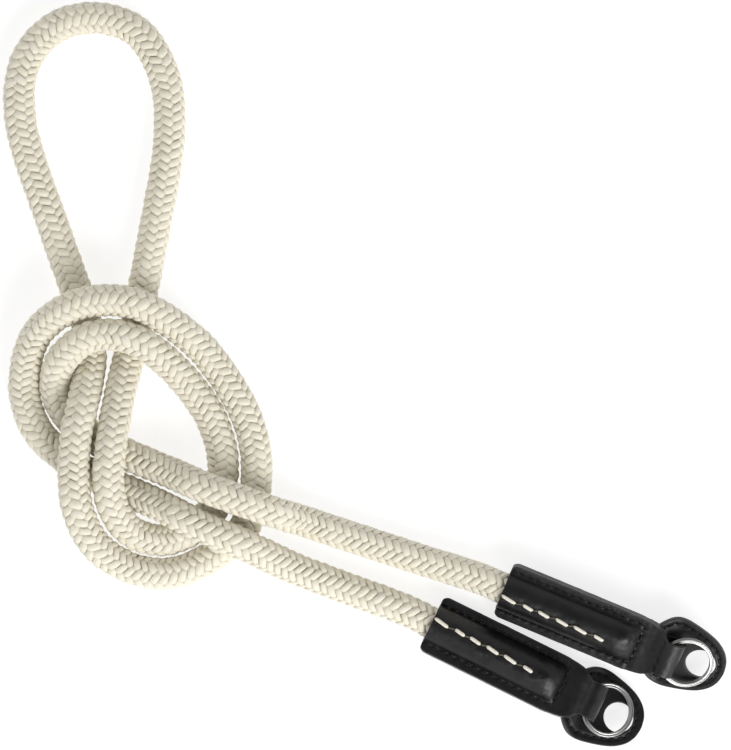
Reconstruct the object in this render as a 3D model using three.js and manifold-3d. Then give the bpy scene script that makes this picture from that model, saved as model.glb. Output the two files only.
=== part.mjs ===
// Silk camera strap, doubled and tied in a loose overhand knot, lying on a flat surface.
// Millimetres, +X to the right and +Y up as seen from above, +Z up, origin under the middle of the box.
import * as THREE from "three";
import { mergeVertices } from "three/addons/utils/BufferGeometryUtils.js";
import Module from "manifold-3d";

const wasm = await Module();
wasm.setup();

// Rope
const ROPE_RADIUS = 4.65;
const ROPE_SIDES = 12;
const ROPE_STEPS = 176;
const ROPE_MEASURE_STEPS = 4000;

// Leather, shared by the sleeves and the guards
const LEATHER = 1.2;
const GAP = 0.3;

// Sleeve, measured from its mouth along the strap end
const ROPE_IN_SLEEVE = 36.3;
const ROPE_LEAD = 8;
const SLEEVE_HALF_WIDTH = 9;
const BULGE_END = 36.6;
const BULGE_TAPER = 6;
const BULGE_FILLET = 1.4;
const TAPER_STEPS = 5;
const TAPER_NARROWING = 0.2;
const ARC_COLUMNS = 4;
const FILLET_COLUMNS = 2;

// Fold that holds the ring
const FOLD_X = 53.05;
const FOLD_RADIUS = 2.45;
const FOLD_HALF_WIDTH = 5.5;
const FOLD_START = THREE.MathUtils.degToRad(140);
const FOLD_STEPS = 14;

// Neck between the sleeve and the fold: distance from the mouth, half width, height of the inner face
const NECK = [
  { x: 45, half: 8.6, inner: GAP / 2 },
  { x: 47.4, half: 8.2, inner: GAP / 2 },
  { x: 49.4, half: 7.2, inner: 0.55 },
];

// Ring guard: distance from the mouth and half width along its edge, then height of its top face
const GUARD_THICKNESS = 1.6;
const GUARD_EDGE = [
  { x: 45.4, half: 4 },
  { x: 46.4, half: 6.6 },
  { x: 48.4, half: 9.2 },
  { x: 51, half: 11.1 },
  { x: 54, half: 11.6 },
  { x: 57.5, half: 11.1 },
  { x: 63, half: 9.6 },
  { x: 66, half: 8.2 },
  { x: 68.6, half: 6 },
  { x: 70.1, half: 3.4 },
  { x: 70.6, half: 1 },
];
const GUARD_TOP = [
  { x: 45.4, z: -1.66 },
  { x: 47.4, z: -1.68 },
  { x: 49.4, z: -2.4 },
  { x: 51.2, z: -3.55 },
  { x: 52.8, z: -3.95 },
  { x: 70.6, z: -3.95 },
];
const GUARD_STATIONS = 27;
const GUARD_COLUMNS = 4;
const GUARD_HOLE_X = 63.1;
const GUARD_HOLE_RADIUS = 4.5;
const GUARD_HOLE_SIDES = 32;
const GUARD_PROFILE_STEPS = 400;
const DRILL_LENGTH = 12.8;

// Split ring: two flat turns of wire and the short ramp between them
const RING_X = 59.1;
const RING_RADIUS = 7.45;
const WIRE_WIDTH = 1.3;
const WIRE_HEIGHT = 0.8;
const TURN_RISE = 0.9;
const RING_RAMP = THREE.MathUtils.degToRad(24);
const RING_STATIONS = 81;
const RING_DROOP = 12.1;

// Strap ends: middle of the mouth, then the angles of the end in degrees
const ENDS = {
  a: { mouth: [19.8, -74.4, 6.2], heading: -26.1, pitch: 1.85, roll: -12 },
  b: { mouth: [41.5, -64.1, 6.2], heading: -22.4, pitch: 3.6, roll: 22 },
};

// Rope centreline between the two mouths: x, y, z
const ROUTE = [
  // lower tail, over the right limbs and under the upright pair
  [-7.6, -63.4, 4.9], [-22.8, -57.3, 8.2], [-36.9, -50.2, 14.5], [-47.7, -45.6, 14.7],
  [-54.6, -42.3, 13.4], [-61.8, -39, 8.9], [-69.6, -35.7, 5.3], [-79.8, -31.3, 4.7],
  // outer left limb and outer arc, over the legs of the loop
  [-89.4, -25.5, 4.7], [-98.5, -17.1, 4.7], [-102.6, -4.5, 5.2], [-98.5, 11.8, 10.4],
  [-87.8, 20.1, 14.5], [-76.8, 22.3, 14.7], [-67.2, 20.7, 14.5], [-53.7, 12.3, 9.6],
  // outer right limb, under the tails
  [-45.6, 3.9, 6.3], [-35.4, -13.5, 4.7], [-32.7, -28.5, 4.7], [-36, -45, 4.7],
  // outer bottom turn
  [-47.7, -55.5, 4.8], [-60.3, -59.7, 5.5], [-72.3, -57.1, 7.6], [-81.3, -49.9, 11.4],
  // left upright, over the left limbs and under the arcs
  [-86, -38.7, 14.4], [-86.8, -27.9, 14.7], [-86, -17.1, 14.7], [-84.6, -9.9, 12.9],
  [-83.4, -3, 9.2], [-82.5, 5.4, 5.2], [-84, 15.9, 4.7],
  // loop at the top
  [-92.7, 41.4, 4.8], [-103.8, 77.1, 4.8], [-102.3, 93.9, 4.8], [-93.9, 104.1, 4.8], [-81.6, 107.4, 4.8],
  [-68.7, 103.2, 4.8], [-60.6, 90, 4.8], [-58.9, 73.5, 4.8], [-63.9, 41.1, 4.8],
  // right upright, under the arcs and over the left limbs
  [-68.7, 17.1, 4.7], [-71.4, 4.2, 5.3], [-73.5, -5.7, 9.2], [-75.9, -21.3, 14.5],
  [-76.6, -31.5, 14.7], [-75.3, -39.3, 12.9],
  // inner bottom turn, under the tails
  [-70.2, -46.8, 8.6], [-61.5, -49.6, 5.5], [-53.1, -47.1, 4.7], [-46.2, -40.5, 4.7],
  // inner right limb
  [-42.8, -27.9, 4.7], [-45.8, -14.4, 4.8], [-53.5, -2.4, 7.4], [-64.2, 7.9, 13.2],
  // inner arc, over the legs of the loop, and inner left limb
  [-70.2, 10.9, 14.6], [-76.8, 12, 14.7], [-83.4, 10.7, 14.7], [-90.9, 4.2, 11.6],
  [-93, -3.3, 7], [-90.2, -11.3, 5], [-80.4, -19.5, 4.75],
  // upper tail, under the upright pair and over the right limbs
  [-70.5, -24.4, 5], [-58.8, -29.1, 8.4], [-48.3, -33.3, 14.3], [-34.8, -38.2, 14.6],
  [-27.6, -40.8, 12.7], [-19.2, -43.6, 7.2], [-6.6, -47.9, 5.1], [16.9, -55.6, 4.9],
];

// A segmented box whose vertices go where place(station, across, through) says, across from -1 to 1
// and through from 0 to 1.
function formedBox(stations, columns, place) {
  const last = stations - 1;
  const box = new THREE.BoxGeometry(last, 2, 1, last, columns, 1);
  const at = box.getAttribute("position");
  for (let i = 0; i < at.count; i++) {
    const station = Math.round(at.getX(i) + last / 2);
    const point = place(station, at.getY(i), at.getZ(i) + 0.5);
    at.setXYZ(i, point.x, point.y, point.z);
  }
  return box;
}

function solidOf(geometry) {
  const bare = new THREE.BufferGeometry();
  bare.setAttribute("position", geometry.getAttribute("position"));
  bare.setIndex(geometry.getIndex());
  const merged = mergeVertices(bare, 1e-3);
  return new wasm.Manifold(
    new wasm.Mesh({
      numProp: 3,
      vertProperties: merged.getAttribute("position").array,
      triVerts: new Uint32Array(merged.getIndex().array),
    }),
  );
}

function geometryOf(solid) {
  const mesh = solid.getMesh();
  const geometry = new THREE.BufferGeometry();
  geometry.setAttribute("position", new THREE.BufferAttribute(mesh.vertProperties, 3));
  geometry.setIndex(new THREE.BufferAttribute(mesh.triVerts, 1));
  return geometry;
}

// The group's frame has +X from the mouth to the ring, +Y to the left and +Z up, on the rope's axis.
function endGroup({ mouth, heading, pitch, roll }) {
  const group = new THREE.Group();
  const turns = [roll, -pitch, heading].map(THREE.MathUtils.degToRad);
  group.rotation.set(...turns, "ZYX");
  group.position.set(...mouth);
  group.updateMatrix();
  return group;
}

function ropeGeometry(groups) {
  const inside = [ROPE_IN_SLEEVE, ROPE_IN_SLEEVE / 2, 0, -ROPE_LEAD];
  const held = (group) => inside.map((x) => new THREE.Vector3(x, 0, 0).applyMatrix4(group.matrix));
  const free = ROUTE.map((row) => new THREE.Vector3(...row));
  const curve = new THREE.CatmullRomCurve3([...held(groups.a), ...free, ...held(groups.b).reverse()]);
  curve.arcLengthDivisions = ROPE_MEASURE_STEPS;
  const corners = [];
  for (let i = 0; i < ROPE_SIDES; i++) {
    const angle = (i / ROPE_SIDES) * 2 * Math.PI;
    corners.push(new THREE.Vector2(Math.cos(angle), Math.sin(angle)).multiplyScalar(ROPE_RADIUS));
  }
  return new THREE.ExtrudeGeometry(new THREE.Shape(corners), { steps: ROPE_STEPS, extrudePath: curve });
}

// Half of the sleeve's section from the middle to the edge: an arc over the rope, a fillet down to the
// flange, and the flange's edge. Each point lies in the middle of the leather and has its normal.
function sleeveSection() {
  const middle = ROPE_RADIUS + GAP + LEATHER / 2;
  const flange = (GAP + LEATHER) / 2;
  const reach = middle + BULGE_FILLET;
  const filletZ = flange + BULGE_FILLET;
  const filletY = Math.sqrt(reach ** 2 - filletZ ** 2);
  const turn = Math.atan2(filletY, filletZ);
  const points = [];
  for (let i = 0; i <= ARC_COLUMNS; i++) {
    const angle = (turn * i) / ARC_COLUMNS;
    const normal = new THREE.Vector2(Math.sin(angle), Math.cos(angle));
    points.push({ at: normal.clone().multiplyScalar(middle), normal });
  }
  for (let i = 1; i <= FILLET_COLUMNS; i++) {
    const angle = turn * (1 - i / FILLET_COLUMNS);
    const normal = new THREE.Vector2(Math.sin(angle), Math.cos(angle));
    const at = new THREE.Vector2(filletY, filletZ).addScaledVector(normal, -BULGE_FILLET);
    points.push({ at, normal });
  }
  points.push({ at: new THREE.Vector2(SLEEVE_HALF_WIDTH, flange), normal: new THREE.Vector2(0, 1) });
  return points;
}

// One layer of the strip from the mouth to the fold, then the fold, then the other layer back.
function stripStations() {
  const inner = GAP / 2;
  const layer = [
    { x: 0, half: SLEEVE_HALF_WIDTH, inner, bulge: 1 },
    { x: BULGE_END / 2, half: SLEEVE_HALF_WIDTH, inner, bulge: 1 },
  ];
  for (let i = 0; i <= TAPER_STEPS; i++) {
    const angle = ((i / TAPER_STEPS) * Math.PI) / 2;
    const x = BULGE_END + BULGE_TAPER * Math.sin(angle);
    const half = SLEEVE_HALF_WIDTH - (TAPER_NARROWING * i) / TAPER_STEPS;
    layer.push({ x, half, inner, bulge: Math.cos(angle) });
  }
  NECK.forEach((row) => layer.push({ ...row, bulge: 0 }));
  const top = layer.map((row) => ({ ...row, z: row.inner }));
  const bottom = layer.map((row) => ({ ...row, z: -row.inner })).reverse();
  const fold = [];
  for (let i = 0; i <= FOLD_STEPS; i++) {
    const angle = FOLD_START * (1 - (2 * i) / FOLD_STEPS);
    const x = FOLD_X + FOLD_RADIUS * Math.cos(angle);
    fold.push({ x, z: FOLD_RADIUS * Math.sin(angle), half: FOLD_HALF_WIDTH, bulge: 0 });
  }
  const stations = [...top, ...fold, ...bottom];
  stations.forEach((row, i) => {
    const before = stations[Math.max(i - 1, 0)];
    const after = stations[Math.min(i + 1, stations.length - 1)];
    row.normal = new THREE.Vector2(before.z - after.z, after.x - before.x).normalize();
    if (row.bulge > 0) row.normal.set(0, Math.sign(row.z));
  });
  return stations;
}

function stripGeometry() {
  const section = sleeveSection();
  const stations = stripStations();
  const steps = section.length - 1;
  return formedBox(stations.length, 2 * steps, (number, across, through) => {
    const row = stations[number];
    const { at, normal } = section[Math.round(Math.abs(across) * steps)];
    const side = Math.sign(across);
    const offset = (through - 0.5) * LEATHER;
    const flatY = (at.x / SLEEVE_HALF_WIDTH) * row.half;
    const y = side * THREE.MathUtils.lerp(flatY, at.x + offset * normal.x, row.bulge);
    const lift = row.bulge * (at.y + offset * normal.y - GAP / 2 - through * LEATHER);
    const out = through * LEATHER + lift;
    return new THREE.Vector3(row.x + row.normal.x * out, y, row.z + row.normal.y * out);
  });
}

function guardGeometry() {
  const edge = new THREE.SplineCurve(GUARD_EDGE.map(({ x, half }) => new THREE.Vector2(x, half)));
  const top = new THREE.SplineCurve(GUARD_TOP.map(({ x, z }) => new THREE.Vector2(x, z)));
  const outline = edge.getSpacedPoints(GUARD_STATIONS - 1);
  const profile = top.getPoints(GUARD_PROFILE_STEPS);
  const topAt = (x) => profile.reduce((a, b) => (Math.abs(b.x - x) < Math.abs(a.x - x) ? b : a)).y;
  const plate = formedBox(GUARD_STATIONS, GUARD_COLUMNS, (number, across, through) => {
    const { x, y } = outline[number];
    return new THREE.Vector3(x, across * y, topAt(x) - GUARD_THICKNESS * (1 - through));
  });
  const drill = new THREE.CylinderGeometry(
    GUARD_HOLE_RADIUS,
    GUARD_HOLE_RADIUS,
    DRILL_LENGTH,
    GUARD_HOLE_SIDES,
  );
  drill.rotateX(Math.PI / 2);
  drill.translate(GUARD_HOLE_X, 0, GUARD_TOP.at(-1).z);
  return geometryOf(solidOf(plate).subtract(solidOf(drill)));
}

// The wire starts and ends inside the fold, on either side of the ramp from one turn to the next.
function ringGeometry() {
  const sweep = 4 * Math.PI - 2 * RING_RAMP;
  return formedBox(RING_STATIONS, 1, (number, across, through) => {
    const turned = RING_RAMP + (sweep * number) / (RING_STATIONS - 1);
    const climb = THREE.MathUtils.smoothstep(turned, 2 * Math.PI - RING_RAMP, 2 * Math.PI + RING_RAMP);
    const radius = RING_RADIUS - (across * WIRE_WIDTH) / 2;
    const angle = Math.PI + turned;
    const z = (climb - 0.5) * TURN_RISE + (through - 0.5) * WIRE_HEIGHT;
    return new THREE.Vector3(radius * Math.cos(angle), radius * Math.sin(angle), z);
  });
}

function ringGroup(mesh) {
  const group = new THREE.Group();
  group.position.set(FOLD_X, 0, 0);
  group.rotation.y = THREE.MathUtils.degToRad(RING_DROOP);
  mesh.position.x = RING_X - FOLD_X;
  group.add(mesh);
  return group;
}

function named(name, geometry, color) {
  const mesh = new THREE.Mesh(geometry, new THREE.MeshStandardMaterial({ color }));
  mesh.name = name;
  return mesh;
}

const strap = new THREE.Group();
const groups = { a: endGroup(ENDS.a), b: endGroup(ENDS.b) };
for (const [end, group] of Object.entries(groups)) {
  group.add(named(`leather_end_${end}`, stripGeometry(), 0x1b1b1d));
  group.add(named(`ring_guard_${end}`, guardGeometry(), 0x232325));
  group.add(ringGroup(named(`split_ring_${end}`, ringGeometry(), 0xc8c8cc)));
  strap.add(group);
}
strap.add(named("silk_rope", ropeGeometry(groups), 0xd6d0bc));

export default strap;
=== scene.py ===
# Silk camera strap, doubled and tied in a loose overhand knot, lying on a pale table.
# The tables hold millimetres, and MM turns them into Blender's metres.
import math

import bmesh
import bpy
import numpy as np
from mathutils import Matrix, Vector, noise
from mathutils.bvhtree import BVHTree


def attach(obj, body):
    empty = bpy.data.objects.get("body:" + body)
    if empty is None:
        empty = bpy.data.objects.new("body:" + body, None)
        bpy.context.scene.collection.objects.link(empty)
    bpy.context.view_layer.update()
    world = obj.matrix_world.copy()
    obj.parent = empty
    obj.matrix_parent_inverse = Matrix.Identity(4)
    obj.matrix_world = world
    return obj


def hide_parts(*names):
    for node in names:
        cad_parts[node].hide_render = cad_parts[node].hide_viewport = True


MM = 0.001

# Camera straight above the table, in metres, and its sensor in millimetres
CAMERA_DISTANCE = 0.95
CAMERA_AIM_HEIGHT = 0.007
PHOTO_HEIGHT = 0.225
SENSOR = 36
TABLE_HEIGHT = -0.0005
TABLE_SIDE = 4

# Room: brightness of its walls and ceiling, and the slopes of view between which one fades into the other
WALL_STRENGTH = 0.74
CEILING_STRENGTH = 0.16
WALL_TOP = 0.5
CEILING_EDGE = 0.9
# name, place in metres, side in metres, watts
SOFTBOXES = [
    {"name": "front_softbox", "place": (0.5, -0.85, 0.78), "side": 0.75, "watts": 13.5},
    {"name": "left_softbox", "place": (-0.85, 0.3, 0.8), "side": 0.9, "watts": 2.4},
]

# Strap ends: middle of the mouth, then the angles of the end in degrees
ENDS = {
    "a": {"mouth": (19.8, -74.4, 6.2), "heading": -26.1, "pitch": 1.85, "roll": -12},
    "b": {"mouth": (41.5, -64.1, 6.2), "heading": -22.4, "pitch": 3.6, "roll": 22},
}

# Rope
ROPE_IN_SLEEVE = 36.3
ROPE_LEAD = 8
ROPE_SPACING = 0.5
CURVE_STEPS = 40
CORE_RADIUS = 3.0
CORE_SIDES = 12
CORE_STEP = 4

# Rope centreline between the two mouths: x, y, z
ROUTE = [
    # lower tail, over the right limbs and under the upright pair
    (-7.6, -63.4, 4.9), (-22.8, -57.3, 8.2), (-36.9, -50.2, 14.5), (-47.7, -45.6, 14.7),
    (-54.6, -42.3, 13.4), (-61.8, -39, 8.9), (-69.6, -35.7, 5.3), (-79.8, -31.3, 4.7),
    # outer left limb and outer arc, over the legs of the loop
    (-89.4, -25.5, 4.7), (-98.5, -17.1, 4.7), (-102.6, -4.5, 5.2), (-98.5, 11.8, 10.4),
    (-87.8, 20.1, 14.5), (-76.8, 22.3, 14.7), (-67.2, 20.7, 14.5), (-53.7, 12.3, 9.6),
    # outer right limb, under the tails
    (-45.6, 3.9, 6.3), (-35.4, -13.5, 4.7), (-32.7, -28.5, 4.7), (-36, -45, 4.7),
    # outer bottom turn
    (-47.7, -55.5, 4.8), (-60.3, -59.7, 5.5), (-72.3, -57.1, 7.6), (-81.3, -49.9, 11.4),
    # left upright, over the left limbs and under the arcs
    (-86, -38.7, 14.4), (-86.8, -27.9, 14.7), (-86, -17.1, 14.7), (-84.6, -9.9, 12.9),
    (-83.4, -3, 9.2), (-82.5, 5.4, 5.2), (-84, 15.9, 4.7),
    # loop at the top
    (-92.7, 41.4, 4.8), (-103.8, 77.1, 4.8), (-102.3, 93.9, 4.8), (-93.9, 104.1, 4.8),
    (-81.6, 107.4, 4.8), (-68.7, 103.2, 4.8), (-60.6, 90, 4.8), (-58.9, 73.5, 4.8), (-63.9, 41.1, 4.8),
    # right upright, under the arcs and over the left limbs
    (-68.7, 17.1, 4.7), (-71.4, 4.2, 5.3), (-73.5, -5.7, 9.2), (-75.9, -21.3, 14.5),
    (-76.6, -31.5, 14.7), (-75.3, -39.3, 12.9),
    # inner bottom turn, under the tails
    (-70.2, -46.8, 8.6), (-61.5, -49.6, 5.5), (-53.1, -47.1, 4.7), (-46.2, -40.5, 4.7),
    # inner right limb
    (-42.8, -27.9, 4.7), (-45.8, -14.4, 4.8), (-53.5, -2.4, 7.4), (-64.2, 7.9, 13.2),
    # inner arc, over the legs of the loop, and inner left limb
    (-70.2, 10.9, 14.6), (-76.8, 12, 14.7), (-83.4, 10.7, 14.7), (-90.9, 4.2, 11.6),
    (-93, -3.3, 7), (-90.2, -11.3, 5), (-80.4, -19.5, 4.75),
    # upper tail, under the upright pair and over the right limbs
    (-70.5, -24.4, 5), (-58.8, -29.1, 8.4), (-48.3, -33.3, 14.3), (-34.8, -38.2, 14.6),
    (-27.6, -40.8, 12.7), (-19.2, -43.6, 7.2), (-6.6, -47.9, 5.1), (16.9, -55.6, 4.9),
]

# Braid: two sets of yarns that wind opposite ways, each over two and under two of the other
YARNS = 8
BRAID_LEAD = 21.6
BRAID_COLUMNS = 4
YARN_RADIUS = 3.52
YARN_WAVE = 0.68
YARN_SLIP = 0.34
WAVE_SHARPNESS = 2.3
YARN_HALF_WIDTH = 1.27
YARN_HALF_HEIGHT = 0.74
YARN_UNEVEN = 0.05
YARN_SPREAD = (0.85, 1.3)
UNEVEN_RUN = 6.5
UNEVEN_SECOND = 2.3
BRAID_SEED = 5
# the two tails are drawn tighter and turned: reach from the rope's end, fade, slip, width and turn
TAIL_REACH = 185
TAIL_FADE = 50
TAIL_SLIP = 0.1
TAIL_WIDTH = 0.91
TAIL_TURN = math.pi / 4
# rings of each yarn over one wave, in degrees from the middle of the part that shows
WAVE_RINGS = [-72, -44, 0, 44, 72, 100, 140, 220, 260]
# sideways and outwards over the yarn's section, as shares of its half width and half height
YARN_SECTION = [(-1, -0.1), (-0.72, 0.66), (0, 1), (0.72, 0.66), (1, -0.1), (0.5, -0.9), (-0.5, -0.9)]

# Leather sleeve, measured from its mouth along the strap end
LEATHER = 1.2
LAYER_GAP = 0.1
SLEEVE_HALF_WIDTH = 9
BULGE_RADIUS = 5.55
BULGE_END = 36.6
BULGE_TAPER = 6
BULGE_FILLET = 1.4
TAPER_NARROWING = 0.2
MOUTH_CORNER = 1.3
MOUTH_FADE = 8
BULGE_ROWS = 36
TAPER_ROWS = 9
ARC_COLUMNS = 9
FILLET_COLUMNS = 4
FLANGE_COLUMNS = 3
LEATHER_EDGE = 0.3
SHARP_EDGE = math.radians(50)
# cut edges of the leather, by their place on the sheet's map
RIM_START = 0.97
RIM_FADE = 0.025

# Wrinkles in the leather: distance from the mouth, then height of the soft lumps and of the cross creases
WRINKLE_X = [0, 3, 10, 30, 35, 39, 43, 46, 50, 53, 57]
LUMP_HEIGHT = [0.16, 0.1, 0.07, 0.08, 0.14, 0.24, 0.2, 0.14, 0.16, 0.12, 0.08]
CREASE_HEIGHT = [0, 0, 0, 0.02, 0.1, 0.2, 0.12, 0.16, 0.1, 0.03, 0.02]
LUMP_SIZE = 4.2
LUMP_ROUGHNESS = 0.8
LUMP_STEP = 2.1
LUMP_OCTAVES = 3
CREASE_LENGTH = 7
CREASE_PITCH = 1.7
SIDE_FACING = 0.9
WRINKLE_STARTS = {"a": (3.1, 7.4, 1.9), "b": (8.6, 2.2, 5.3)}

# Fold that holds the ring
FOLD_X = 53.05
FOLD_RADIUS = 2.45
FOLD_HALF_WIDTH = 5.5
FOLD_START = math.radians(140)
FOLD_ROWS = 26

# Neck between the sleeve and the fold: distance from the mouth, half width, height of the inner face
NECK = [
    {"x": 44, "half": 8.72, "inner": 0.05},
    {"x": 45, "half": 8.6, "inner": 0.06},
    {"x": 46.2, "half": 8.42, "inner": 0.1},
    {"x": 47.4, "half": 8.2, "inner": 0.17},
    {"x": 48.4, "half": 7.78, "inner": 0.32},
    {"x": 49.4, "half": 7.2, "inner": 0.58},
    {"x": 50.3, "half": 6.5, "inner": 1.0},
]

# Ring guard: distance from the mouth and half width along its edge, then height of its top face
GUARD_THICKNESS = 1.6
GUARD_EDGE_X = [45.4, 46.4, 48.4, 51, 54, 57.5, 63, 66, 68.6, 70.1, 70.6]
GUARD_EDGE_HALF = [4, 6.6, 9.2, 11.1, 11.6, 11.1, 9.6, 8.2, 6, 3.4, 1]
GUARD_TOP_X = [45.4, 47.4, 49.4, 51.2, 52.8, 70.6]
GUARD_TOP_Z = [-1.66, -1.68, -2.4, -3.55, -3.95, -3.95]
GUARD_HOLE_X = 63.1
GUARD_HOLE_RADIUS = 4.5
GUARD_EDGE_SPACING = 0.2
GUARD_RAYS = 96
GUARD_RINGS = 12
GUARD_EDGE_ROUND = 0.4

# Split ring: two flat turns of wire and the short ramp between them
RING_X = 59.1
RING_RADIUS = 7.45
WIRE_WIDTH = 1.3
WIRE_HEIGHT = 0.8
WIRE_ROUND = 0.92
WIRE_SIDES = 24
WIRE_GROOVE = 0.2
WIRE_GROOVE_HALF = 0.55
TURN_RISE = 0.9
RING_RAMP = math.radians(24)
RING_STATIONS = 200
RING_DROOP = math.radians(12.1)

# One stitch: bluntness of its ends, how full it may get, how far its ends turn down, and its lift
STITCH_SEGMENTS = 10
STITCH_RINGS = 12
STITCH_BLUNTNESS = 8
STITCH_FULLEST = 1.5
STITCH_POLE = 0.2
STITCH_DIP = 0.75
STITCH_DIP_POWER = 6
STITCH_LIFT = 0.12
# height in metres from which the leather is looked for
RAY_HEIGHT = 0.05

# White stitches along the crest of each sleeve: start and end from the mouth
CREST_STITCHES = [(-0.5, 5.1), (7, 10.6), (12, 15.9), (17.6, 22), (23.4, 28), (30, 33.4)]
CREST_SIDE = {"a": 0.5, "b": 0.1}
CREST_DRIFT = {"a": -0.036, "b": -0.012}
CREST_SLANT = math.radians(-9)
CREST_WIDTH = 1.12
CREST_HEIGHT = 0.95
CREST_FIRST_X = 0.05
# thin thread that shows in the needle holes between those stitches, coloured dark as painted shade of the
# holes
LINK_WIDTH = 0.5
LINK_HEIGHT = 0.5
LINK_SINK = 0.22

# Black stitches along the sleeve's sides and across its end, and round the guard
SEAM_PITCH = 2.7
SEAM_STITCH = 2.05
SEAM_WIDTH = 0.6
SEAM_HEIGHT = 0.4
SEAM_Y = 6.75
SEAM_START_X = 1.4
SEAM_CROSS_X = 43.4
SEAM_CORNER = 1
SEAM_BACK = 0.9
GUARD_SEAM_INSET = 2.0
GUARD_GROOVE_STEP = 0.5
GUARD_SEAM_PITCH = 2.5
GUARD_SEAM_STITCH = 1.85

# Dents that the stitches pull into the leather
DENTS = {
    "crest": {"depth": 0.5, "spread": 0.75},
    "seam": {"depth": 0.3, "spread": 0.5},
    "guard_groove": {"depth": 0.24, "spread": 0.36},
    "guard_seam": {"depth": 0.2, "spread": 0.45},
}

# Colours, and the glow that keeps the table's shadows faint
PALE_SILK = (0.8, 0.762, 0.652, 1)
WARM_SILK = (0.79, 0.745, 0.615, 1)
SILK_FIBRE = (0.71, 0.665, 0.54, 1)
# painted shade, given to the low parts of the yarns in the gaps between floats
SILK_PAINTED_SHADE = (0.36, 0.316, 0.222, 1)
STITCH_SILK = (0.72, 0.69, 0.6, 1)
# painted shade: the link thread is pale silk, coloured dark brown for the shade in the needle holes
LINK_PAINTED_SHADE = (0.135, 0.118, 0.08, 1)
LINK_PAINTED_DEEP_SHADE = (0.06, 0.051, 0.034, 1)
DEEP_BLACK = (0.005, 0.005, 0.0053, 1)
WORN_BLACK = (0.011, 0.0107, 0.0113, 1)
EDGE_BLACK = (0.022, 0.0215, 0.022, 1)
THREAD_BLACK = (0.004, 0.004, 0.0045, 1)
STEEL = (0.37, 0.366, 0.358, 1)
TABLE_WHITE = (0.38, 0.38, 0.38, 1)
TABLE_PALE = (0.37, 0.37, 0.37, 1)
TABLE_GLOW = 0.74


# Lines and frames

def smooth_line(points, spacing):
    """Centripetal curve through the points, as evenly spaced points."""
    points = np.array(points, float)
    padded = np.vstack([2 * points[0] - points[1], points, 2 * points[-1] - points[-2]])
    steps = np.linspace(0, 1, CURVE_STEPS, endpoint=False)[:, None]
    pieces = []
    for i in range(1, len(padded) - 2):
        before, start, stop, after = padded[i - 1:i + 3]
        d0 = math.sqrt(np.linalg.norm(start - before))
        d1 = math.sqrt(np.linalg.norm(stop - start))
        d2 = math.sqrt(np.linalg.norm(after - stop))
        leave = d1 * ((start - before) / d0 - (stop - before) / (d0 + d1) + (stop - start) / d1)
        arrive = d1 * ((stop - start) / d1 - (after - start) / (d1 + d2) + (after - stop) / d2)
        square = 3 * (stop - start) - 2 * leave - arrive
        cube = 2 * (start - stop) + leave + arrive
        pieces.append(start + leave * steps + square * steps**2 + cube * steps**3)
    dense = np.vstack(pieces + [points[-1:]])
    run = np.concatenate([[0], np.cumsum(np.linalg.norm(np.diff(dense, axis=0), axis=1))])
    count = round(run[-1] / spacing) + 1
    even = np.linspace(0, run[-1], count)
    return np.stack([np.interp(even, run, dense[:, k]) for k in range(3)], axis=1), run[-1]


def unit(vectors):
    return vectors / np.linalg.norm(vectors, axis=-1, keepdims=True)


def carried_frames(line):
    """Two directions across the line at each point, carried along it without twist."""
    ahead = unit(np.gradient(line, axis=0))
    side = np.empty_like(line)
    across = np.cross(ahead[0], (0, 0, 1))
    for i, direction in enumerate(ahead):
        across = across - direction * across.dot(direction)
        across = across / np.linalg.norm(across)
        side[i] = across
    return side, np.cross(ahead, side)


def end_frame(mouth, heading, pitch, roll):
    turns = [("Z", heading), ("Y", -pitch), ("X", roll)]
    frame = Matrix.Translation(mouth)
    for axis, angle in turns:
        frame = frame @ Matrix.Rotation(math.radians(angle), 4, axis)
    return frame


# Meshes

def deselect():
    if bpy.context.object and bpy.context.object.mode != "OBJECT":
        bpy.ops.object.mode_set(mode="OBJECT")
    bpy.ops.object.select_all(action="DESELECT")


def pick(piece):
    deselect()
    piece.select_set(True)
    bpy.context.view_layer.objects.active = piece


def finish_with(piece, kind, **settings):
    pick(piece)
    modifier = piece.modifiers.new(kind.lower(), kind)
    for name, value in settings.items():
        setattr(modifier, name, value)
    bpy.ops.object.modifier_apply(modifier=modifier.name)


def join_seam(piece):
    """Joins the two edges of a wrapped sheet."""
    pick(piece)
    bpy.ops.object.mode_set(mode="EDIT")
    bpy.ops.mesh.select_all(action="SELECT")
    bpy.ops.mesh.remove_doubles(threshold=1e-6)
    bpy.ops.object.mode_set(mode="OBJECT")


def close_ends(piece):
    """Fills the open ends of a tube and turns its faces outwards."""
    pick(piece)
    bpy.ops.object.mode_set(mode="EDIT")
    bpy.ops.mesh.select_all(action="SELECT")
    bpy.ops.mesh.fill_holes(sides=0)
    bpy.ops.mesh.select_all(action="SELECT")
    bpy.ops.mesh.normals_make_consistent(inside=False)
    bpy.ops.object.mode_set(mode="OBJECT")


def round_and_fine(sheet, thickness, edge):
    """Gives a flat sheet of leather its thickness, rounds its cut edges and makes its mesh finer."""
    finish_with(sheet, "SOLIDIFY", thickness=thickness * MM, offset=0, use_even_offset=True)
    finish_with(sheet, "BEVEL", width=edge * MM, segments=2, limit_method="ANGLE", angle_limit=SHARP_EDGE)
    finish_with(sheet, "SUBSURF", levels=1, render_levels=1)
    sheet.data.shade_smooth()


def formed_sheet(name, stations, columns, place):
    """A grid whose points go where place(along 0 to 1, across -1 to 1) says."""
    deselect()
    bpy.ops.mesh.primitive_grid_add(x_subdivisions=stations, y_subdivisions=columns, size=2)
    sheet = bpy.context.object
    sheet.name = name
    for vertex in sheet.data.vertices:
        vertex.co = place((vertex.co.x + 1) / 2, vertex.co.y)
    return sheet


def new_piece(name, verts, faces):
    mesh = bpy.data.meshes.new(name)
    mesh.from_pydata(verts, [], faces)
    mesh.shade_smooth()
    piece = bpy.data.objects.new(name, mesh)
    bpy.context.collection.objects.link(piece)
    return piece


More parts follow.
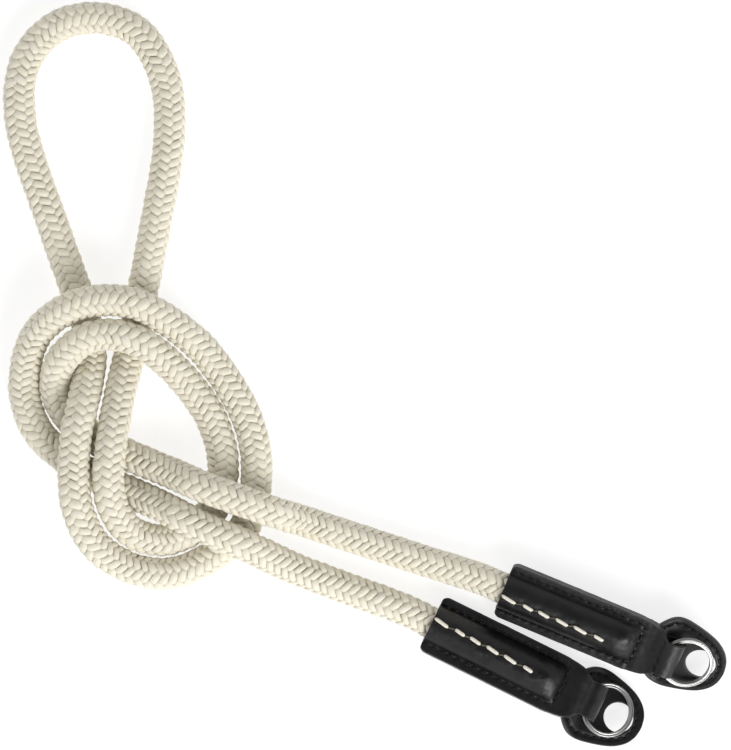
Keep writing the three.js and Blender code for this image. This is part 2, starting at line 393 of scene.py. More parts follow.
def swept_tubes(name, tubes):
    """Tubes through rings of points, with a UV map that runs along and round each tube."""
    verts = []
    faces = []
    uvs = []
    for number, (rings, run) in enumerate(tubes):
        count, sides = rings.shape[:2]
        first = len(verts)
        verts.extend(map(tuple, rings.reshape(-1, 3)))
        for i in range(count - 1):
            here = first + i * sides
            ahead = here + sides
            for k in range(sides):
                after = (k + 1) % sides
                low = number + k / sides
                high = number + (k + 1) / sides
                faces.append((here + k, here + after, ahead + after, ahead + k))
                uvs.extend((run[i], low, run[i], high, run[i + 1], high, run[i + 1], low))
        last = first + (count - 1) * sides
        faces.append(tuple(range(first + sides - 1, first - 1, -1)))
        faces.append(tuple(range(last, last + sides)))
        uvs.extend((0, number) * 2 * sides)
    tube = new_piece(name, verts, faces)
    layer = tube.data.uv_layers.new(name="UVMap")
    layer.data.foreach_set("uv", uvs)
    return tube


def set_attribute(piece, name, values):
    attribute = piece.data.attributes.new(name, "FLOAT", "POINT")
    attribute.data.foreach_set("value", np.asarray(values, np.float32))


def point_values(piece, name):
    values = np.empty(len(piece.data.vertices) * 3)
    piece.data.vertices.foreach_get(name, values)
    return values.reshape(-1, 3)


def push_out(piece, heights):
    """Moves each point of a piece along its normal, by a height in metres."""
    points = point_values(piece, "co") + point_values(piece, "normal") * heights[:, None]
    piece.data.vertices.foreach_set("co", points.ravel())
    piece.data.update()


def press_in(piece, spots, depth, spread):
    """Presses a soft dent into the surface at each spot."""
    points = point_values(piece, "co")
    push = np.zeros(len(points))
    for spot in spots:
        away = ((points - np.array(spot)) ** 2).sum(axis=1)
        push = np.maximum(push, depth * MM * np.exp(-away / (2 * (spread * MM) ** 2)))
    push_out(piece, -push)


# Braided rope

def rope_route():
    frames = {end: end_frame(**row) for end, row in ENDS.items()}
    inside = [ROPE_IN_SLEEVE, ROPE_IN_SLEEVE / 2, 0, -ROPE_LEAD]
    held = {end: [tuple(frame @ Vector((x, 0, 0))) for x in inside] for end, frame in frames.items()}
    return held["a"] + list(ROUTE) + held["b"][::-1]


def at_runs(values, length, runs):
    place = runs / length * (len(values) - 1)
    whole = np.arange(len(values))
    return np.stack([np.interp(place, whole, values[:, k]) for k in range(3)], axis=1)


def yarn_runs(base, length, hand):
    """Where one yarn's rings stand along the rope, closest together where it dips under."""
    wave = BRAID_LEAD / BRAID_COLUMNS
    shown = 0 if hand > 0 else math.pi
    first = hand * (shown - base) / (2 * math.pi) % 1 - 1
    waves = np.arange(int(length / wave) + 3)[:, None]
    runs = ((waves + first + np.array(WAVE_RINGS)[None] / 360) * wave).ravel()
    runs = runs[(runs > 0) & (runs < length)]
    return np.concatenate([[0], runs, [length]])


def braid_set(name, line, length, side, up, hand):
    """The yarns that wind one way, over and under the other set and spread on the outside of bends."""
    section = np.array(YARN_SECTION)
    bend = np.gradient(np.gradient(line, axis=0), axis=0) / ROPE_SPACING**2
    chance = np.random.default_rng(BRAID_SEED + hand)
    tubes = []
    heights = []
    for yarn in range(YARNS):
        base = BRAID_COLUMNS * 2 * math.pi * yarn / YARNS - math.pi / BRAID_COLUMNS
        runs = yarn_runs(base, length, hand)
        tail = np.clip((TAIL_REACH - np.minimum(runs, length - runs)) / TAIL_FADE, 0, 1)
        turned = hand * 2 * math.pi * runs / BRAID_LEAD
        angle = 2 * math.pi * yarn / YARNS + turned + TAIL_TURN * tail
        phase = base + BRAID_COLUMNS * turned
        wave = hand * np.tanh(WAVE_SHARPNESS * np.cos(phase)) / math.tanh(WAVE_SHARPNESS)
        slip = YARN_SLIP + (TAIL_SLIP - YARN_SLIP) * tail
        shifted = np.clip(runs - slip * np.sin(phase), 0, length)
        middle = at_runs(line, length, shifted)
        starts = chance.uniform(0, 2 * math.pi, 2)
        slow = np.sin(runs / UNEVEN_RUN + starts[0])
        uneven = slow + np.sin(UNEVEN_SECOND * runs / UNEVEN_RUN + starts[1])
        across = at_runs(side, length, shifted)
        upward = at_runs(up, length, shifted)
        out = np.cos(angle)[:, None] * across + np.sin(angle)[:, None] * upward
        centre = middle + out * (YARN_RADIUS + YARN_WAVE * wave + YARN_UNEVEN * uneven)[:, None]
        ahead = unit(np.gradient(centre, runs, axis=0))
        wide = unit(np.cross(out, ahead))
        thick = np.cross(ahead, wide)
        inward = (at_runs(bend, length, shifted) * out).sum(axis=1)
        stretch = np.clip(1 - YARN_RADIUS * inward, *YARN_SPREAD)
        stretch = stretch * (1 + (TAIL_WIDTH - 1) * tail)
        width = section[:, :1] * YARN_HALF_WIDTH * (stretch + YARN_UNEVEN * uneven)[:, None, None]
        rings = centre[:, None] + wide[:, None] * width + thick[:, None] * section[:, 1:] * YARN_HALF_HEIGHT
        tubes.append((rings * MM, runs))
        heights.append(np.linalg.norm(rings - middle[:, None], axis=2).ravel())
    braid = swept_tubes(name, tubes)
    low = YARN_RADIUS - YARN_WAVE
    high = YARN_RADIUS + YARN_WAVE + YARN_HALF_HEIGHT
    # height of each point above the lowest yarns, which the silk colour uses to paint shade into the gaps
    set_attribute(braid, "height_for_painted_shade", np.clip((np.concatenate(heights) - low) / (high - low), 0, 1))
    return braid


def rope_core(line, side, up):
    picked = slice(None, None, CORE_STEP)
    turn = np.linspace(0, 2 * math.pi, CORE_SIDES, endpoint=False)
    spokes = np.cos(turn)[:, None] * side[picked, None] + np.sin(turn)[:, None] * up[picked, None]
    rings = line[picked, None] + spokes * CORE_RADIUS
    core = swept_tubes("rope_core", [(rings * MM, np.arange(len(rings)) * ROPE_SPACING * CORE_STEP)])
    # painted shade: the core gets the darkest silk colour all over, as it only shows deep in the gaps
    set_attribute(core, "height_for_painted_shade", np.zeros(len(core.data.vertices)))
    return core


# Leather ends

def sleeve_section():
    """Half of the sleeve's section at the middle of the leather, from the crest to the edge."""
    flange = (LAYER_GAP + LEATHER) / 2
    fillet_z = flange + BULGE_FILLET
    fillet_y = math.sqrt((BULGE_RADIUS + BULGE_FILLET) ** 2 - fillet_z**2)
    turn = math.atan2(fillet_y, fillet_z)
    points = []
    for i in range(ARC_COLUMNS + 1):
        angle = turn * i / ARC_COLUMNS
        points.append((BULGE_RADIUS * math.sin(angle), BULGE_RADIUS * math.cos(angle)))
    for i in range(1, FILLET_COLUMNS + 1):
        angle = turn * (1 - i / FILLET_COLUMNS)
        y = fillet_y - BULGE_FILLET * math.sin(angle)
        points.append((y, fillet_z - BULGE_FILLET * math.cos(angle)))
    for i in range(1, FLANGE_COLUMNS + 1):
        y = fillet_y + (SLEEVE_HALF_WIDTH - fillet_y) * i / FLANGE_COLUMNS
        points.append((y, flange))
    return points


def strip_rows():
    """Rows along the strip: the top layer to the fold, round the fold, and the bottom layer back."""
    layer = []
    for i in range(BULGE_ROWS):
        x = BULGE_END * i / BULGE_ROWS
        layer.append({"x": x, "half": SLEEVE_HALF_WIDTH, "inner": LAYER_GAP / 2, "bulge": 1})
    for i in range(TAPER_ROWS + 1):
        angle = math.pi / 2 * i / TAPER_ROWS
        half = SLEEVE_HALF_WIDTH - TAPER_NARROWING * i / TAPER_ROWS
        x = BULGE_END + BULGE_TAPER * math.sin(angle)
        layer.append({"x": x, "half": half, "inner": LAYER_GAP / 2, "bulge": math.cos(angle)})
    for row in NECK:
        layer.append({**row, "bulge": 0})
    fold = []
    for i in range(FOLD_ROWS + 1):
        angle = FOLD_START * (1 - 2 * i / FOLD_ROWS)
        x = FOLD_X + FOLD_RADIUS * math.cos(angle)
        fold.append({"x": x, "z": FOLD_RADIUS * math.sin(angle), "half": FOLD_HALF_WIDTH, "bulge": 0})
    top = [{**row, "z": row["inner"]} for row in layer]
    bottom = [{**row, "z": -row["inner"]} for row in reversed(layer)]
    rows = top + fold + bottom
    for i, row in enumerate(rows):
        before = rows[max(i - 1, 0)]
        after = rows[min(i + 1, len(rows) - 1)]
        normal = Vector((before["z"] - after["z"], after["x"] - before["x"])).normalized()
        if row["bulge"] > 0:
            normal = Vector((0, math.copysign(1, row["z"])))
        row["normal"] = normal
    return rows


def leather_strip(name):
    section = sleeve_section()
    rows = strip_rows()
    steps = len(section) - 1

    def place(along, across):
        row = rows[round(along * (len(rows) - 1))]
        y, z = section[round(abs(across) * steps)]
        flat_y = y / SLEEVE_HALF_WIDTH * row["half"]
        y = flat_y + (y - flat_y) * row["bulge"]
        out = LEATHER / 2 + row["bulge"] * (z - (LAYER_GAP + LEATHER) / 2)
        corner = max(y - SLEEVE_HALF_WIDTH + MOUTH_CORNER, 0)
        setback = MOUTH_CORNER - math.sqrt(MOUTH_CORNER**2 - min(corner, MOUTH_CORNER) ** 2)
        x = row["x"] + setback * max(1 - row["x"] / MOUTH_FADE, 0) + row["normal"].x * out
        side = math.copysign(y, across)
        return Vector((x, side, row["z"] + row["normal"].y * out)) * MM

    strip = formed_sheet(name, len(rows) - 1, 2 * steps, place)
    round_and_fine(strip, LEATHER, LEATHER_EDGE)
    return strip


def wrinkle(strip, start):
    """Lifts lumps and cross creases on the outside of the leather, and leaves its lined inside as it is."""
    points = point_values(strip, "co") / MM
    normals = point_values(strip, "normal")
    x = points[:, 0]
    outward = normals[:, 0] * (x - np.minimum(x, FOLD_X)) + normals[:, 2] * points[:, 2]
    outside = (outward > 0) & (np.abs(normals[:, 1]) < SIDE_FACING)
    lumps = points / LUMP_SIZE + start
    creases = points / (CREASE_PITCH, CREASE_LENGTH, CREASE_LENGTH) + start
    height = np.zeros(len(points))
    for i in np.flatnonzero(outside):
        lump = noise.fractal(lumps[i], LUMP_ROUGHNESS, LUMP_STEP, LUMP_OCTAVES)
        crease = abs(noise.noise(creases[i]))
        height[i] = lump * np.interp(x[i], WRINKLE_X, LUMP_HEIGHT)
        height[i] -= crease * np.interp(x[i], WRINKLE_X, CREASE_HEIGHT)
    push_out(strip, height * MM)


def guard_outline():
    points = [(x, half, 0) for x, half in zip(GUARD_EDGE_X, GUARD_EDGE_HALF)]
    edge = smooth_line(points, GUARD_EDGE_SPACING)[0][:, :2]
    lower = edge[::-1] * (1, -1)
    return np.vstack([edge, lower])


def guard_height(x):
    return np.interp(x, GUARD_TOP_X, GUARD_TOP_Z)


def ring_guard(name):
    outline = guard_outline() - (GUARD_HOLE_X, 0)
    angles = np.arctan2(outline[:, 1], outline[:, 0])
    order = np.argsort(angles)
    reach = np.linalg.norm(outline, axis=1)[order]
    angles = angles[order]

    def place(along, across):
        angle = math.pi - 2 * math.pi * along
        far = np.interp(angle, angles, reach, period=2 * math.pi)
        radius = GUARD_HOLE_RADIUS + (far - GUARD_HOLE_RADIUS) * (across + 1) / 2
        x = GUARD_HOLE_X + radius * math.cos(angle)
        y = radius * math.sin(angle)
        return Vector((x, y, guard_height(x) - GUARD_THICKNESS / 2)) * MM

    guard = formed_sheet(name, GUARD_RAYS, GUARD_RINGS, place)
    join_seam(guard)
    round_and_fine(guard, GUARD_THICKNESS, GUARD_EDGE_ROUND)
    return guard


def split_ring(name):
    sweep = 4 * math.pi - 2 * RING_RAMP

    def place(along, across):
        turned = RING_RAMP + sweep * along
        climb = min(max((turned - 2 * math.pi + RING_RAMP) / (2 * RING_RAMP), 0), 1)
        climb = climb * climb * (3 - 2 * climb)
        corner = math.pi * across
        wide = math.copysign(abs(math.cos(corner)) ** WIRE_ROUND, math.cos(corner))
        high = math.copysign(abs(math.sin(corner)) ** WIRE_ROUND, math.sin(corner))
        radius = RING_RADIUS + wide * WIRE_WIDTH / 2
        angle = math.pi + turned
        hollow = WIRE_GROOVE * max(1 - (wide / WIRE_GROOVE_HALF) ** 2, 0)
        z = (climb - 0.5) * TURN_RISE + high * (WIRE_HEIGHT / 2 - hollow)
        return Vector((radius * math.cos(angle), radius * math.sin(angle), z)) * MM

    ring = formed_sheet(name, RING_STATIONS, WIRE_SIDES, place)
    join_seam(ring)
    close_ends(ring)
    bpy.ops.object.shade_smooth_by_angle(angle=SHARP_EDGE)
    hang = Matrix.Translation((FOLD_X * MM, 0, 0)) @ Matrix.Rotation(RING_DROOP, 4, "Y")
    ring.data.transform(hang @ Matrix.Translation(((RING_X - FOLD_X) * MM, 0, 0)))
    return ring


# Stitches

def stitch_form():
    """One plump stitch of thread a unit long each way, with its ends turned down."""
    deselect()
    bpy.ops.mesh.primitive_uv_sphere_add(segments=STITCH_SEGMENTS, ring_count=STITCH_RINGS, radius=1)
    stitch = bpy.context.object
    stitch.data.transform(Matrix.Rotation(math.pi / 2, 4, "Y"))
    for vertex in stitch.data.vertices:
        x, y, z = vertex.co
        sphere = max(math.sqrt(max(1 - x * x, 0)), STITCH_POLE)
        fuller = min((1 - x**STITCH_BLUNTNESS) / sphere, STITCH_FULLEST)
        vertex.co = (x, y * fuller, z * fuller - STITCH_DIP * x**STITCH_DIP_POWER)
    mesh = stitch.data
    form = [tuple(v.co) for v in mesh.vertices], [tuple(p.vertices) for p in mesh.polygons]
    bpy.data.objects.remove(stitch)
    return form


def stitch_row(name, form, places):
    """Copies of the stitch, one for each place: start, end, outward direction, width and height."""
    points, polygons = form
    verts = []
    faces = []
    for start, end, out, width, height in places:
        along = end - start
        ahead = along.normalized()
        side = out.cross(ahead).normalized()
        top = ahead.cross(side)
        middle = (start + end) / 2
        first = len(verts)
        for x, y, z in points:
            verts.append(middle + along * (x / 2) + side * (y * width / 2) + top * (z * height / 2))
        faces.extend(tuple(first + i for i in polygon) for polygon in polygons)
    return new_piece(name, verts, faces)


class Surface:
    """Finds the outside of a finished piece above or below a point of the strap end."""

    def __init__(self, piece):
        shape = bmesh.new()
        shape.from_mesh(piece.data)
        self.tree = BVHTree.FromBMesh(shape)
        shape.free()

    def at(self, x, y, facing):
        start = Vector((x * MM, y * MM, facing * RAY_HEIGHT))
        spot, normal, _, _ = self.tree.ray_cast(start, Vector((0, 0, -facing)))
        return spot, normal


def stitch_between(surface, start, end, facing, width, height):
    first, first_out = surface.at(*start, facing)
    last, last_out = surface.at(*end, facing)
    out = (first_out + last_out).normalized()
    lift = out * (height * STITCH_LIFT * MM)
    return first + lift, last + lift, out, width * MM, height * MM


def crest_places(surface, end, facing):
    places = []
    for start, stop in CREST_STITCHES:
        middle = (max(start, 0) + stop) / 2
        half = (stop - start) / 2
        slant = math.tan(CREST_SLANT) * half
        y = CREST_SIDE[end] + CREST_DRIFT[end] * middle
        first = (max(start, CREST_FIRST_X), y - slant)
        places.append(stitch_between(surface, first, (stop, y + slant), facing, CREST_WIDTH, CREST_HEIGHT))
    return places


def crest_links(places):
    """The thread from each stitch to the next, low in the needle holes, where its dark colour is painted
    shade.
    """
    links = []
    for before, after in zip(places, places[1:]):
        out = (before[2] + after[2]).normalized()
        sink = out * (LINK_SINK * MM)
        links.append((before[1] - sink, after[0] - sink, out, LINK_WIDTH * MM, LINK_HEIGHT * MM))
    return links


def seam_places(surface, facing):
    places = []
    half = SEAM_STITCH / 2
    count = int((SEAM_CROSS_X - SEAM_START_X) / SEAM_PITCH)
    for i in range(count + 1):
        x = SEAM_START_X + SEAM_PITCH * i
        for y in (-SEAM_Y, SEAM_Y):
            row = ((x - half * SEAM_BACK, y), (x + half, y))
            places.append(stitch_between(surface, *row, facing, SEAM_WIDTH, SEAM_HEIGHT))
    across = int(2 * (SEAM_Y - SEAM_CORNER) / SEAM_PITCH)
    for i in range(across + 1):
        y = (i - across / 2) * SEAM_PITCH
        row = ((SEAM_CROSS_X, y - half), (SEAM_CROSS_X, y + half))
        places.append(stitch_between(surface, *row, facing, SEAM_WIDTH, SEAM_HEIGHT))
    return places


def guard_seam():
    """Line of the guard's stitching, inside its edge, with the distance run along it."""
    outline = guard_outline()
    ahead = unit(np.roll(outline, -1, axis=0) - np.roll(outline, 1, axis=0))
    inward = np.stack([ahead[:, 1], -ahead[:, 0]], axis=1)
    seam = outline + inward * GUARD_SEAM_INSET
    seam = np.vstack([seam, seam[:1]])
    return seam, np.concatenate([[0], np.cumsum(np.linalg.norm(np.diff(seam, axis=0), axis=1))])


def along_seam(seam, run, distance):
    return np.interp(distance, run, seam[:, 0]), np.interp(distance, run, seam[:, 1])


def guard_groove(surface, facing):
    seam, run = guard_seam()
    steps = np.arange(0, run[-1], GUARD_GROOVE_STEP)
    return [surface.at(*along_seam(seam, run, step), facing)[0] for step in steps]


def guard_seam_places(surface, facing):
    seam, run = guard_seam()
    count = round(run[-1] / GUARD_SEAM_PITCH)
    places = []
    for i in range(count):
        middle = run[-1] * (i + 0.5) / count
        ends = [middle - GUARD_SEAM_STITCH / 2, middle + GUARD_SEAM_STITCH / 2]
        first, last = [along_seam(seam, run, distance) for distance in ends]
        places.append(stitch_between(surface, first, last, facing, SEAM_WIDTH, SEAM_HEIGHT))
    return places


def stitch_ends(places):
    return [spot for place in places for spot in place[:2]]


# Materials

def node_group(name, inputs, outputs):
    group = bpy.data.node_groups.new(name, "ShaderNodeTree")
    for label, kind, value in inputs:
        socket = group.interface.new_socket(label, in_out="INPUT", socket_type=kind)
        if value is not None:
            socket.default_value = value
    for label, kind in outputs:
        group.interface.new_socket(label, in_out="OUTPUT", socket_type=kind)
    return group, group.nodes.new("NodeGroupInput"), group.nodes.new("NodeGroupOutput")


def add(tree, kind, **settings):
    """A node with its properties and the values of its inputs set by name."""
    node = tree.nodes.new(kind)
    for name, value in settings.items():
        if name in node.inputs:
            node.inputs[name].default_value = value
        else:
            setattr(node, name, value)
    return node


def blend_colours(tree, factor, first, second):
    mix = tree.nodes.new("ShaderNodeMix")
    mix.data_type = "RGBA"
    colours = [socket for socket in mix.inputs if socket.type == "RGBA"]
    tree.links.new(factor, mix.inputs[0])
    for socket, value in zip(colours, (first, second)):
        if isinstance(value, tuple):
            socket.default_value = value
        else:
            tree.links.new(value, socket)
    return next(socket for socket in mix.outputs if socket.type == "RGBA")


def spread_value(tree, value, low, high, to_low, to_high):
    node = add(tree, "ShaderNodeMapRange", clamp=True)
    limits = {"From Min": low, "From Max": high, "To Min": to_low, "To Max": to_high}
    for name, limit in limits.items():
        node.inputs[name].default_value = limit
    tree.links.new(value, node.inputs["Value"])
    return node.outputs["Result"]


def bump(tree, height, strength, distance):
    node = tree.nodes.new("ShaderNodeBump")
    node.inputs["Strength"].default_value = strength
    node.inputs["Distance"].default_value = distance
    tree.links.new(height, node.inputs["Height"])
    return node.outputs["Normal"]


def new_material(name, **sockets):
    material = bpy.data.materials.new(name)
    material.use_nodes = True
    tree = material.node_tree
    shader = tree.nodes["Principled BSDF"]
    for label, value in sockets.items():
        shader.inputs[label.replace("_", " ")].default_value = value
    return material, tree, shader


def fibre_group():
    """Fine strands along a yarn's own map, and a slow change of tone from yarn to yarn."""
    inputs = [("Vector", "NodeSocketVector", None), ("Strands", "NodeSocketFloat", 9.0)]
    outputs = [("Strand", "NodeSocketFloat"), ("Tone", "NodeSocketFloat")]
    group, given, result = node_group("silk_fibres", inputs, outputs)
    split = add(group, "ShaderNodeSeparateXYZ")
    group.links.new(given.outputs["Vector"], split.inputs[0])
    along = add(group, "ShaderNodeMath", operation="MULTIPLY")
    along.inputs[1].default_value = 0.5
    group.links.new(split.outputs["X"], along.inputs[0])
    across = add(group, "ShaderNodeMath", operation="MULTIPLY")
    group.links.new(split.outputs["Y"], across.inputs[0])
    group.links.new(given.outputs["Strands"], across.inputs[1])
    join = add(group, "ShaderNodeCombineXYZ")
    group.links.new(along.outputs[0], join.inputs["X"])
    group.links.new(across.outputs[0], join.inputs["Y"])
    strands = add(group, "ShaderNodeTexNoise", Scale=1.6, Detail=3.0, Roughness=0.6)
    group.links.new(join.outputs[0], strands.inputs["Vector"])
    tone = add(group, "ShaderNodeTexNoise", Scale=0.35, Detail=2.0)
    group.links.new(given.outputs["Vector"], tone.inputs["Vector"])
    group.links.new(strands.outputs["Fac"], result.inputs["Strand"])
    group.links.new(tone.outputs["Fac"], result.inputs["Tone"])
    return group


def grain_group():
    """Pores and fine creases of smooth leather, and a cloudy mottle."""
    inputs = [("Vector", "NodeSocketVector", None), ("Scale", "NodeSocketFloat", 1.0)]
    outputs = [("Height", "NodeSocketFloat"), ("Mottle", "NodeSocketFloat")]
    group, given, result = node_group("leather_grain", inputs, outputs)
    sized = add(group, "ShaderNodeVectorMath", operation="SCALE")
    group.links.new(given.outputs["Vector"], sized.inputs[0])
    group.links.new(given.outputs["Scale"], sized.inputs["Scale"])
    cells = add(group, "ShaderNodeTexVoronoi", feature="DISTANCE_TO_EDGE", Scale=2600.0)
    pores = add(group, "ShaderNodeTexNoise", Scale=5200.0, Detail=2.0)
    creases = add(group, "ShaderNodeTexNoise", Scale=420.0, Detail=5.0, Roughness=0.65)
    mottle = add(group, "ShaderNodeTexNoise", Scale=160.0, Detail=4.0)
    for texture in (cells, pores, creases, mottle):
        group.links.new(sized.outputs[0], texture.inputs["Vector"])
    seams = spread_value(group, cells.outputs["Distance"], 0.0, 0.12, 0.0, 0.5)
    rough = add(group, "ShaderNodeMath", operation="MULTIPLY_ADD")
    rough.inputs[1].default_value = 0.35
    group.links.new(pores.outputs["Fac"], rough.inputs[0])
    group.links.new(seams, rough.inputs[2])
    whole = add(group, "ShaderNodeMath", operation="MULTIPLY_ADD")
    whole.inputs[1].default_value = 1.4
    group.links.new(creases.outputs["Fac"], whole.inputs[0])
    group.links.new(rough.outputs[0], whole.inputs[2])
    group.links.new(whole.outputs[0], result.inputs["Height"])
    group.links.new(mottle.outputs["Fac"], result.inputs["Mottle"])
    return group


def place_group(tree, group, source, **values):
    node = tree.nodes.new("ShaderNodeGroup")
    node.node_tree = group
    tree.links.new(source, node.inputs["Vector"])
    for name, value in values.items():
        node.inputs[name].default_value = value
    return node


def braided_silk(fibres):
    material, tree, shader = new_material(
        "braided_silk", Roughness=0.6, Sheen_Weight=0.06, Sheen_Roughness=0.45, Specular_IOR_Level=0.3)
    where = add(tree, "ShaderNodeTexCoord")
    strands = place_group(tree, fibres, where.outputs["UV"], Strands=13.0)
    height_for_painted_shade = add(tree, "ShaderNodeAttribute", attribute_name="height_for_painted_shade")
    tone = spread_value(tree, strands.outputs["Tone"], 0.35, 0.65, 0.0, 1.0)
    fibre = spread_value(tree, strands.outputs["Strand"], 0.3, 0.56, 0.0, 1.0)
    body = blend_colours(tree, fibre, SILK_FIBRE, blend_colours(tree, tone, WARM_SILK, PALE_SILK))
    # painted shade: the lower a point of yarn lies, the closer its colour comes to the dark silk shade
    open_to_light = spread_value(tree, height_for_painted_shade.outputs["Fac"], 0.3, 0.86, 0.0, 1.0)
    colour = blend_colours(tree, open_to_light, SILK_PAINTED_SHADE, body)
    tree.links.new(colour, shader.inputs["Base Color"])
    tree.links.new(bump(tree, strands.outputs["Strand"], 0.45, 0.0003), shader.inputs["Normal"])
    return material


def stitch_silk(name, grain, first, second):
    material, tree, shader = new_material(
        name, Roughness=0.5, Sheen_Weight=0.2, Sheen_Roughness=0.4, Specular_IOR_Level=0.4)
    where = add(tree, "ShaderNodeTexCoord")
    fuzz = place_group(tree, grain, where.outputs["Object"], Scale=1.5)
    colour = blend_colours(tree, fuzz.outputs["Mottle"], first, second)
    tree.links.new(colour, shader.inputs["Base Color"])
    tree.links.new(bump(tree, fuzz.outputs["Height"], 0.25, 0.0002), shader.inputs["Normal"])
    return material


def black_leather(name, grain, roughness, scale):
    material, tree, shader = new_material(name, Specular_IOR_Level=0.36)
    where = add(tree, "ShaderNodeTexCoord")
    skin = place_group(tree, grain, where.outputs["Object"], Scale=scale)
    tone = spread_value(tree, skin.outputs["Mottle"], 0.3, 0.7, 0.0, 1.0)
    body = blend_colours(tree, tone, DEEP_BLACK, WORN_BLACK)
    rim = add(tree, "ShaderNodeAttribute", attribute_name="rim")
    colour = blend_colours(tree, rim.outputs["Fac"], body, EDGE_BLACK)
    gloss = spread_value(tree, skin.outputs["Mottle"], 0.3, 0.7, roughness - 0.06, roughness + 0.08)
    tree.links.new(colour, shader.inputs["Base Color"])
    tree.links.new(gloss, shader.inputs["Roughness"])
    tree.links.new(bump(tree, skin.outputs["Height"], 0.3, 0.00012), shader.inputs["Normal"])
    return material


def black_thread(grain):
    material, tree, shader = new_material("black_thread", Roughness=0.65, Specular_IOR_Level=0.25)
    where = add(tree, "ShaderNodeTexCoord")
    fuzz = place_group(tree, grain, where.outputs["Object"], Scale=1.8)
    colour = blend_colours(tree, fuzz.outputs["Mottle"], THREAD_BLACK, WORN_BLACK)
    tree.links.new(colour, shader.inputs["Base Color"])
    tree.links.new(bump(tree, fuzz.outputs["Height"], 0.3, 0.00015), shader.inputs["Normal"])
    return material


def polished_steel():
    material, tree, shader = new_material("polished_steel", Base_Color=STEEL, Metallic=1.0)
    where = add(tree, "ShaderNodeTexCoord")
    handling = add(tree, "ShaderNodeTexNoise", Scale=260.0, Detail=3.0, Roughness=0.5)
    tree.links.new(where.outputs["Object"], handling.inputs["Vector"])
    haze = spread_value(tree, handling.outputs["Fac"], 0.3, 0.7, 0.29, 0.37)
    tree.links.new(haze, shader.inputs["Roughness"])
    tree.links.new(bump(tree, handling.outputs["Fac"], 0.015, 0.0001), shader.inputs["Normal"])
    return material


def table_top():
    material, tree, shader = new_material(
        "table_top", Roughness=0.8, Specular_IOR_Level=0.1,
        Emission_Color=(1, 1, 1, 1), Emission_Strength=TABLE_GLOW)
    where = add(tree, "ShaderNodeTexCoord")
    cloud = add(tree, "ShaderNodeTexNoise", Scale=3.0, Detail=2.0)
    tree.links.new(where.outputs["Object"], cloud.inputs["Vector"])
    colour = blend_colours(tree, cloud.outputs["Fac"], TABLE_WHITE, TABLE_PALE)
    tree.links.new(colour, shader.inputs["Base Color"])
    return material


# Studio

def build_room():
    """Pale walls all round under a dim ceiling."""
    world = bpy.data.worlds.new("studio")
    world.use_nodes = True
    tree = world.node_tree
    look = add(tree, "ShaderNodeTexCoord")
    split = add(tree, "ShaderNodeSeparateXYZ")
    tree.links.new(look.outputs["Generated"], split.inputs[0])
    glow = spread_value(tree, split.outputs["Z"], WALL_TOP, CEILING_EDGE, WALL_STRENGTH, CEILING_STRENGTH)
    tree.nodes["Background"].inputs["Color"].default_value = (1, 1, 1, 1)
    tree.links.new(glow, tree.nodes["Background"].inputs["Strength"])
    bpy.context.scene.world = world


def set_up(name, data, place):
    holder = bpy.data.objects.new(name, data)
    holder.location = place
    bpy.context.collection.objects.link(holder)
    return holder


def build_studio(table_material):
    deselect()
    bpy.ops.mesh.primitive_plane_add(size=TABLE_SIDE, location=(0, 0, TABLE_HEIGHT))
    table = bpy.context.object
    table.name = "table"
    table.data.materials.append(table_material)
    for row in SOFTBOXES:
        light = bpy.data.lights.new(row["name"], "AREA")
        light.energy = row["watts"]
        light.size = row["side"]
        holder = set_up(row["name"], light, row["place"])
        holder.rotation_euler = (-Vector(row["place"])).to_track_quat("-Z", "Y").to_euler()
    build_room()
    camera = bpy.data.cameras.new("photo_camera")
    camera.sensor_width = SENSOR
    camera.lens = SENSOR * CAMERA_DISTANCE / PHOTO_HEIGHT
    above = (0, 0, CAMERA_AIM_HEIGHT + CAMERA_DISTANCE)
    bpy.context.scene.camera = set_up("photo_camera", camera, above)
    bpy.context.scene.view_settings.view_transform = "Standard"


def mark_rim(piece):
    """Marks the cut edges of a leather sheet from its map, where the leather is coloured a little lighter.
    """
    mesh = piece.data
    rim = np.zeros(len(mesh.vertices), np.float32)
    across = np.empty(len(mesh.loops) * 2, np.float32)
    mesh.uv_layers.active.data.foreach_get("uv", across)
    across = across.reshape(-1, 2)
    corner = np.empty(len(mesh.loops), np.int32)
    mesh.loops.foreach_get("vertex_index", corner)
    outer = np.abs(across[:, 1] - 0.5) + 0.5
    np.maximum.at(rim, corner, np.clip((outer - RIM_START) / RIM_FADE, 0, 1))
    set_attribute(piece, "rim", rim)


def dress(piece, material, body, slot, *nodes):
    piece.data.materials.clear()
    piece.data.materials.append(material)
    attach(piece, body)
    if nodes:
        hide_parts(*nodes)


def build_rope(silk):
    route = rope_route()
    line, length = smooth_line(route, ROPE_SPACING)
    side, up = carried_frames(line)
    right_hand = braid_set("rope_yarns_right", line, length, side, up, 1)
    left_hand = braid_set("rope_yarns_left", line, length, side, up, -1)
    core = rope_core(line, side, up)
    dress(right_hand, silk, "strap", "silk", "silk_rope")
    dress(left_hand, silk, "strap", "silk")
    dress(core, silk, "strap", "silk")


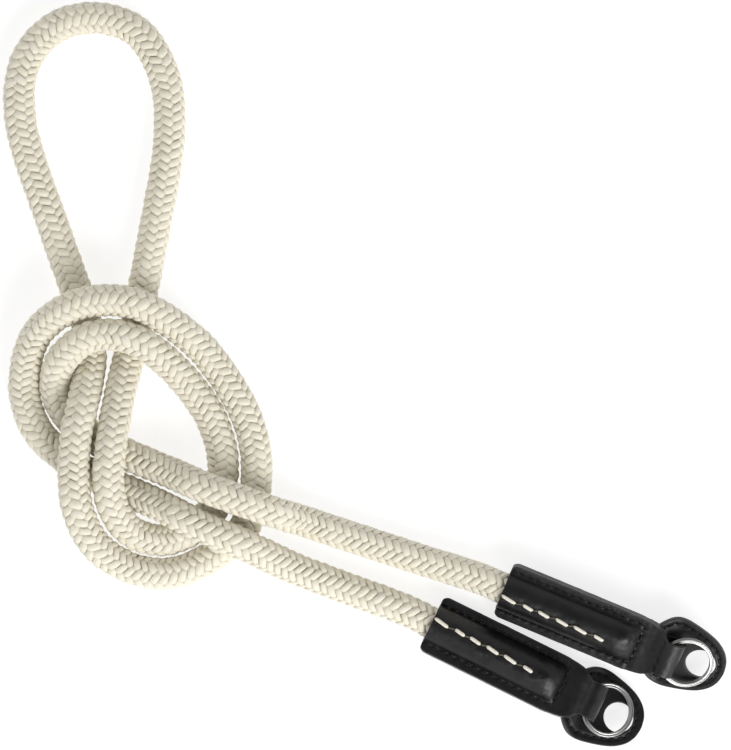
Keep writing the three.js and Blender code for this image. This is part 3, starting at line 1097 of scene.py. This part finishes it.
def build_end(end, form, materials):
    frame = end_frame(**ENDS[end])
    frame.translation = frame.translation * MM
    strip = leather_strip("sleeve_" + end)
    wrinkle(strip, WRINKLE_STARTS[end])
    surface = Surface(strip)
    over = crest_places(surface, end, 1)
    under = crest_places(surface, end, -1)
    crest = over + under
    links = crest_links(over) + crest_links(under)
    seam = seam_places(surface, 1) + seam_places(surface, -1)
    guard = ring_guard("guard_" + end)
    uncut = Surface(guard)
    press_in(guard, guard_groove(uncut, 1) + guard_groove(uncut, -1), **DENTS["guard_groove"])
    grooved = Surface(guard)
    guard_stitches = guard_seam_places(grooved, 1) + guard_seam_places(grooved, -1)
    press_in(strip, stitch_ends(crest), **DENTS["crest"])
    press_in(strip, stitch_ends(seam), **DENTS["seam"])
    press_in(guard, stitch_ends(guard_stitches), **DENTS["guard_seam"])
    mark_rim(strip)
    mark_rim(guard)
    pieces = [
        (strip, "sleeve_leather", "strap", "sleeve_leather", ["leather_end_" + end]),
        (guard, "guard_leather", "strap", "guard_leather", ["ring_guard_" + end]),
        (split_ring("ring_" + end), "steel", "ring_" + end, "ring_steel", ["split_ring_" + end]),
        (stitch_row("crest_stitches_" + end, form, crest), "stitch_silk", "strap", "silk", []),
        (stitch_row("crest_links_" + end, form, links), "link_silk_painted_shade", "strap", "silk", []),
        (stitch_row("seam_stitches_" + end, form, seam), "thread", "strap", "sleeve_leather", []),
        (stitch_row("guard_stitches_" + end, form, guard_stitches), "thread", "strap", "guard_leather", []),
    ]
    for piece, material, body, slot, nodes in pieces:
        piece.data.transform(frame)
        piece.data.update()
        dress(piece, materials[material], body, slot, *nodes)


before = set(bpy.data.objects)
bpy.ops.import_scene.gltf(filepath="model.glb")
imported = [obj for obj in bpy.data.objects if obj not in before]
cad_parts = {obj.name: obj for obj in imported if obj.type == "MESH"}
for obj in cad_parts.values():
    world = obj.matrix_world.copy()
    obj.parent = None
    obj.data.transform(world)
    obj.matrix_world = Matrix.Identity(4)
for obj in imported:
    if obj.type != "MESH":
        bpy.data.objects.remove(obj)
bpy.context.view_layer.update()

fibres = fibre_group()
grain = grain_group()
materials = {
    "sleeve_leather": black_leather("sleeve_leather", grain, roughness=0.31, scale=1.0),
    "guard_leather": black_leather("guard_leather", grain, roughness=0.4, scale=1.2),
    "steel": polished_steel(),
    "stitch_silk": stitch_silk("stitch_silk", grain, PALE_SILK, STITCH_SILK),
    # the link thread's dark colours are painted shade of the needle holes
    "link_silk_painted_shade": stitch_silk("link_silk_painted_shade", grain, LINK_PAINTED_SHADE, LINK_PAINTED_DEEP_SHADE),
    "thread": black_thread(grain),
}
build_studio(table_top())
build_rope(braided_silk(fibres))
stitch = stitch_form()
for end in ENDS:
    build_end(end, stitch, materials)
